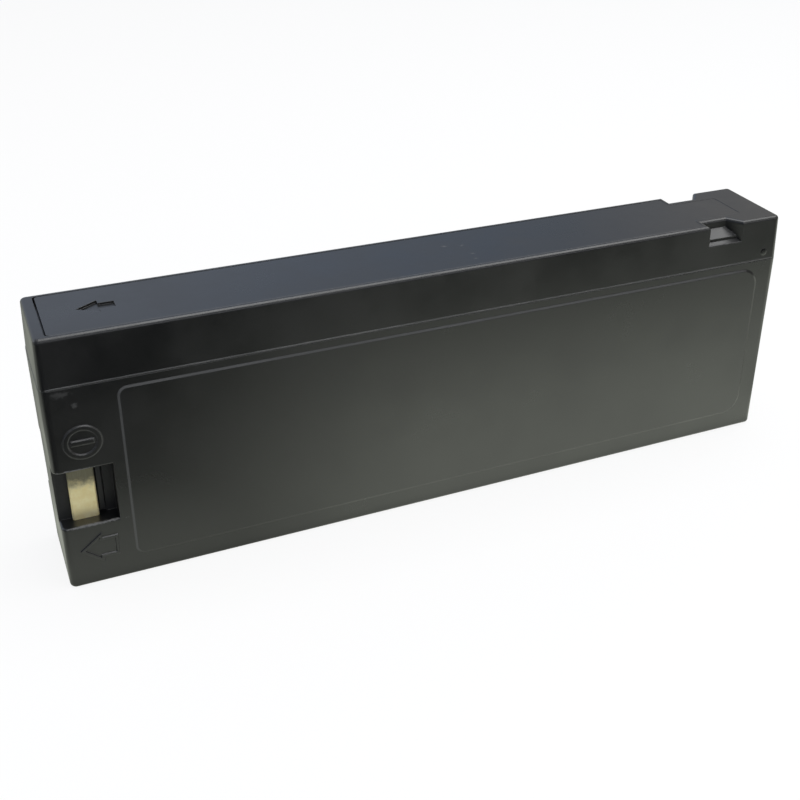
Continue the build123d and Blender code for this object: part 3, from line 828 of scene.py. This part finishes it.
@dataclass
class Studio:
    """Floor, lamps, world and camera, in metres, but for the camera's place in millimetres."""

    floor_size: float = 8.0
    floor_colour: Colour = (0.86, 0.86, 0.86)
    white_share: float = 0.88
    glow_colour: Colour = (0.95, 1.0, 0.87)
    left_edges: Pair = (-0.118, 0.0)
    left_slant: float = 0.35
    front_edges: Pair = (0.020, 0.170)
    front_strengths: Pair = (1.55, 0.0)
    left_strip: FloorStrip = FloorStrip((0.095, 0.11), (0.026, 0.012), 0.9)
    near_strip: FloorStrip = FloorStrip((-0.125, -0.09), (0.070, 0.020), 0.85)
    right_shade: FloorStrip = FloorStrip((0.095, 0.115), (0.036, 0.020), 0.55)
    back_edges: Pair = (0.005, 0.03)
    back_strengths: Pair = (0.95, 0.64)
    foot: Point = (0.0905, 0.0111, 0.0)
    foot_shade_reach: float = 0.004
    foot_shade_strength: float = 0.7
    dome: tuple[tuple[float, Colour], ...] = (
        (0.10, (0.60, 0.67, 0.80)),
        (0.40, (0.36, 0.45, 0.60)),
        (0.50, (0.35, 0.39, 0.45)),
        (0.62, (0.60, 0.57, 0.53)),
    )
    dome_front_to_back: Pair = (-0.3, 0.8)
    dome_strengths: Pair = (0.35, 1.0)
    softboxes: tuple[Softbox, ...] = (
        Softbox("overhead_softbox", (0.3, -0.1, 0.75), (0.3, -0.1, 0.0), (0.9, 0.75), 7.5),
        Softbox("front_softbox", (0.25, -0.95, 0.33), (0.1, 0.0, 0.03), (1.5, 0.24), 1.75),
        Softbox("left_softbox", (-0.75, 0.35, 0.35), (-0.05, 0.0, 0.03), (0.4, 0.4), 1.0),
    )
    camera_azimuth: float = -25.241
    camera_elevation: float = 26.918
    camera_roll: float = 1.320
    camera_place: Point = (-102.58, -231.12, 169.52)
    camera_nearest: float = 0.01
    focal_pixels: float = 1186.2
    picture_pixels: float = 800.0
    view_centre: Pair = (458.2, 329.3)
    sensor: float = 36.0

    def build(self) -> None:
        """Builds the floor, the world, the lamps and the camera."""
        self.build_floor()
        self.build_world()
        for softbox in self.softboxes:
            softbox.hang()
        self.build_camera()

    def build_floor(self) -> None:
        """Lays the floor, which is white to the camera and keeps the shadow, and which glows unevenly in the
        battery's reflections as a painted reflection with painted shade.
        """
        mesh = bmesh.new()
        bmesh.ops.create_grid(mesh, x_segments=1, y_segments=1, size=self.floor_size / 2)
        floor = mesh_piece("floor", mesh)
        material = bpy.data.materials.new("floor_pale")
        material.use_nodes = True
        material.node_tree.nodes.clear()
        graph = NodeGraph(material.node_tree)
        plain = graph.add("ShaderNodeBsdfDiffuse", {"Color": (*self.floor_colour, 1.0)})
        path = graph.add("ShaderNodeLightPath").outputs
        mirrored = graph.math("MAXIMUM", path["Is Glossy Ray"], path["Is Transmission Ray"])
        place = graph.add("ShaderNodeTexCoord").outputs["Object"]
        strength = graph.mix_value(mirrored, 1.0, self.mirrored_glow(graph, place))
        tint = graph.mix_colour(mirrored, WHITE, self.glow_colour)
        glow = graph.add("ShaderNodeEmission", {"Color": tint, "Strength": strength})
        seen = graph.math("MULTIPLY", path["Is Camera Ray"], self.white_share)
        share = graph.math("MAXIMUM", seen, mirrored)
        mixed = graph.add("ShaderNodeMixShader", {0: share, 1: plain.outputs[0], 2: glow.outputs[0]})
        graph.add("ShaderNodeOutputMaterial", {"Surface": mixed.outputs[0]})
        floor.data.materials.append(material)

    def mirrored_glow(self, graph: NodeGraph, place: Socket) -> Socket:
        """Sets how bright each spot of the floor is in the battery's reflections: painted pools of light,
        with painted shade to the left, to the right and at the battery's foot.

        Args:
            graph: The floor material's graph.
            place: Coordinates on the floor, in metres.

        Returns:
            The strength's socket.
        """
        rightward, backward, _ = graph.split(place)
        leftward = graph.math("MULTIPLY", rightward, -1.0)
        ahead = graph.math("MULTIPLY", backward, -1.0)
        # The glow fades to the left: painted shade in the reflections.
        slanted = graph.math("SUBTRACT", rightward, graph.math("MULTIPLY", ahead, self.left_slant))
        left = graph.ramp(slanted, *self.left_edges)
        front = graph.math("MULTIPLY", left, graph.ramp(ahead, *self.front_edges, *self.front_strengths))
        near = self.near_strip.mask(graph, rightward, ahead)
        side = self.left_strip.mask(graph, leftward, ahead)
        front = graph.math("MAXIMUM", front, graph.math("MAXIMUM", near, side))
        shade = self.right_shade.mask(graph, rightward, ahead)
        front = graph.math("MULTIPLY", front, graph.math("SUBTRACT", 1.0, shade))
        behind = graph.ramp(backward, *self.back_edges, *self.back_strengths)
        strength = graph.mix_value(graph.math("GREATER_THAN", backward, 0.0), front, behind)
        # Painted shade in the reflections near the battery's foot.
        past = graph.vector("SUBTRACT", graph.vector("ABSOLUTE", place), self.foot)
        gap = graph.vector("LENGTH", graph.vector("MAXIMUM", past))
        foot_shade = graph.ramp(gap, 0.0, self.foot_shade_reach, self.foot_shade_strength, 1.0)
        return graph.math("MULTIPLY", strength, foot_shade)

    def build_world(self) -> None:
        """Makes the world: white to the camera, a soft dome to the object."""
        world = bpy.data.worlds.new("studio_world")
        bpy.context.scene.world = world
        world.use_nodes = True
        world.node_tree.nodes.clear()
        graph = NodeGraph(world.node_tree)
        seen = graph.add("ShaderNodeLightPath").outputs["Is Camera Ray"]
        rightward, backward, _ = graph.split(graph.add("ShaderNodeTexCoord").outputs["Generated"])
        back = graph.ramp(backward, *self.dome_front_to_back, *self.dome_strengths)
        strength = graph.mix_value(seen, back, 1.0)
        tint = graph.mix_colour(seen, graph.bands(rightward, self.dome), WHITE)
        ground = graph.add("ShaderNodeBackground", {"Color": tint, "Strength": strength})
        graph.add("ShaderNodeOutputWorld", {"Surface": ground.outputs[0]})

    def build_camera(self) -> None:
        """Sets the camera at the photograph's viewing angle."""
        azimuth = math.radians(self.camera_azimuth)
        elevation = math.radians(self.camera_elevation)
        roll = math.radians(self.camera_roll)
        flat = math.cos(elevation)
        back = Vector((math.sin(azimuth) * flat, -math.cos(azimuth) * flat, math.sin(elevation)))
        level = (-back).cross(Vector((0, 0, 1))).normalized()
        up = level.cross(-back)
        right = level * math.cos(roll) + up * math.sin(roll)
        top = up * math.cos(roll) - level * math.sin(roll)
        data = bpy.data.cameras.new("camera")
        data.sensor_width = self.sensor
        data.lens = self.focal_pixels * self.sensor / self.picture_pixels
        half = self.picture_pixels / 2
        data.shift_x = (half - self.view_centre[0]) / self.picture_pixels
        data.shift_y = (self.view_centre[1] - half) / self.picture_pixels
        data.clip_start = self.camera_nearest
        camera = bpy.data.objects.new("camera", data)
        turn = Matrix((right, top, back)).transposed().to_4x4()
        camera.matrix_world = Matrix.Translation(Vector(self.camera_place) * MM) @ turn
        bpy.context.scene.collection.objects.link(camera)
        bpy.context.scene.camera = camera


def paint(node: str, material: bpy.types.Material) -> None:
    """Puts a material on every slot of a node of the frame.

    Args:
        node: The node's name.
        material: Its new material.
    """
    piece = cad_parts[node]
    if not piece.material_slots:
        piece.data.materials.append(material)
    for place in piece.material_slots:
        place.material = material


def mesh_piece(name: str, mesh: bmesh.types.BMesh) -> bpy.types.Object:
    """Turns a finished bmesh into an object at the origin.

    Args:
        name: The object's name.
        mesh: The mesh, which is freed.

    Returns:
        The new object.
    """
    data = bpy.data.meshes.new(name)
    mesh.to_mesh(data)
    mesh.free()
    for face in data.polygons:
        face.use_smooth = True
    piece = bpy.data.objects.new(name, data)
    bpy.context.scene.collection.objects.link(piece)
    return piece


def bead_tree(
    name: str, corner_steps: int = 8, step: float = 0.9, bead_sides: int = 10, wander_scale: float = 0.55
) -> bpy.types.NodeTree:
    """Makes the geometry tree that runs a round bead along a line of points.

    Args:
        name: The tree's name.
        corner_steps: Points on each corner of the line.
        step: How far apart the rings of the bead are, in millimetres.
        bead_sides: Sides of the bead.
        wander_scale: Features per millimetre of the noise that makes the bead wander.

    Returns:
        The tree, with the inputs Line, Corner, Bead, Wander and Finish.
    """
    tree = bpy.data.node_groups.new(name, "GeometryNodeTree")
    graph = NodeGraph(tree)
    kinds = {"Line": "Geometry", "Corner": "Float", "Bead": "Float", "Wander": "Float", "Finish": "Material"}
    for title, kind in kinds.items():
        tree.interface.new_socket(title, in_out="INPUT", socket_type="NodeSocket" + kind)
    tree.interface.new_socket("Geometry", in_out="OUTPUT", socket_type="NodeSocketGeometry")
    given = graph.add("NodeGroupInput").outputs
    curve = graph.add("GeometryNodeMeshToCurve", {0: given["Line"]}).outputs[0]
    rounding = {"Curve": curve, "Radius": given["Corner"], "Count": corner_steps}
    rounded = graph.add("GeometryNodeFilletCurve", rounding, mode="POLY").outputs[0]
    spacing = {"Curve": rounded, "Length": step * MM}
    steps = graph.add("GeometryNodeResampleCurve", spacing, mode="LENGTH").outputs[0]
    place = graph.add("GeometryNodeInputPosition").outputs[0]
    noise = graph.add("ShaderNodeTexNoise", {"Vector": place, "Scale": wander_scale / MM, "Detail": 1.0})
    centred = graph.vector("SUBTRACT", noise.outputs["Color"], (0.5, 0.5, 0.5))
    scaling = {0: centred, "Scale": given["Wander"]}
    drift = graph.add("ShaderNodeVectorMath", scaling, operation="SCALE").outputs[0]
    moved = graph.add("GeometryNodeSetPosition", {"Geometry": steps, "Offset": drift}).outputs[0]
    circle = {"Resolution": bead_sides, "Radius": given["Bead"]}
    profile = graph.add("GeometryNodeCurvePrimitiveCircle", circle).outputs[0]
    sweep = {"Curve": moved, "Profile Curve": profile, "Fill Caps": True}
    swept = graph.add("GeometryNodeCurveToMesh", sweep).outputs[0]
    smooth = graph.add("GeometryNodeSetShadeSmooth", {0: swept}).outputs[0]
    real = graph.add("GeometryNodeRealizeInstances", {0: smooth}).outputs[0]
    painted = graph.add("GeometryNodeSetMaterial", {"Geometry": real, "Material": given["Finish"]})
    graph.add("NodeGroupOutput", {0: painted.outputs[0]})
    return tree


def line_mesh(points: list[Point], closed: bool) -> bpy.types.Mesh:
    """Joins points into a mesh of edges alone.

    Args:
        points: The points, in millimetres.
        closed: Whether the last one is joined to the first.

    Returns:
        The mesh, in metres.
    """
    edges = [(index, index + 1) for index in range(len(points) - 1)]
    if closed:
        edges.append((len(points) - 1, 0))
    data = bpy.data.meshes.new("line")
    data.from_pydata([tuple(value * MM for value in point) for point in points], edges, [])
    return data


def grow(
    name: str, tree: bpy.types.NodeTree, inputs: dict[str, object], line: bpy.types.Mesh
) -> bpy.types.Object:
    """Runs a geometry tree and keeps its result as a plain mesh.

    Args:
        name: The piece's name.
        tree: The geometry tree.
        inputs: Values of its named inputs.
        line: The mesh that the tree starts from.

    Returns:
        The piece, with no modifier left on it.
    """
    seed = bpy.data.objects.new(name + "_seed", line)
    bpy.context.scene.collection.objects.link(seed)
    modifier = seed.modifiers.new("grow", "NODES")
    modifier.node_group = tree
    for item in tree.interface.items_tree:
        if item.in_out == "INPUT" and item.name in inputs:
            modifier[item.identifier] = inputs[item.name]
    bpy.context.view_layer.update()
    found = seed.evaluated_get(bpy.context.evaluated_depsgraph_get())
    data = bpy.data.meshes.new_from_object(found)
    data.name = name
    bpy.data.objects.remove(seed)
    piece = bpy.data.objects.new(name, data)
    bpy.context.scene.collection.objects.link(piece)
    return piece


def settle(piece: bpy.types.Object) -> bpy.types.Object:
    """Rides a piece on the battery.

    Args:
        piece: The piece.

    Returns:
        The same piece.
    """
    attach(piece, ROOT)
    return piece


def main() -> None:
    """Builds and dresses the battery, then its studio."""
    logging.basicConfig(level=logging.INFO, format="%(name)s: %(message)s")
    bpy.context.scene.view_settings.view_transform = "Standard"
    case = Case()
    case.dress()
    for piece in (*case.build_cement(), case.build_mould_mark(), LatchNotch().build_lips()):
        log.info("%s: %d faces", piece.name, len(piece.data.polygons))
    Terminals().dress()
    log.info("contacts: plated")
    Inside().dress()
    log.info("inner pieces: dressed")
    Studio().build()
    log.info("studio and camera: set")


if __name__ == "__main__":
    main()
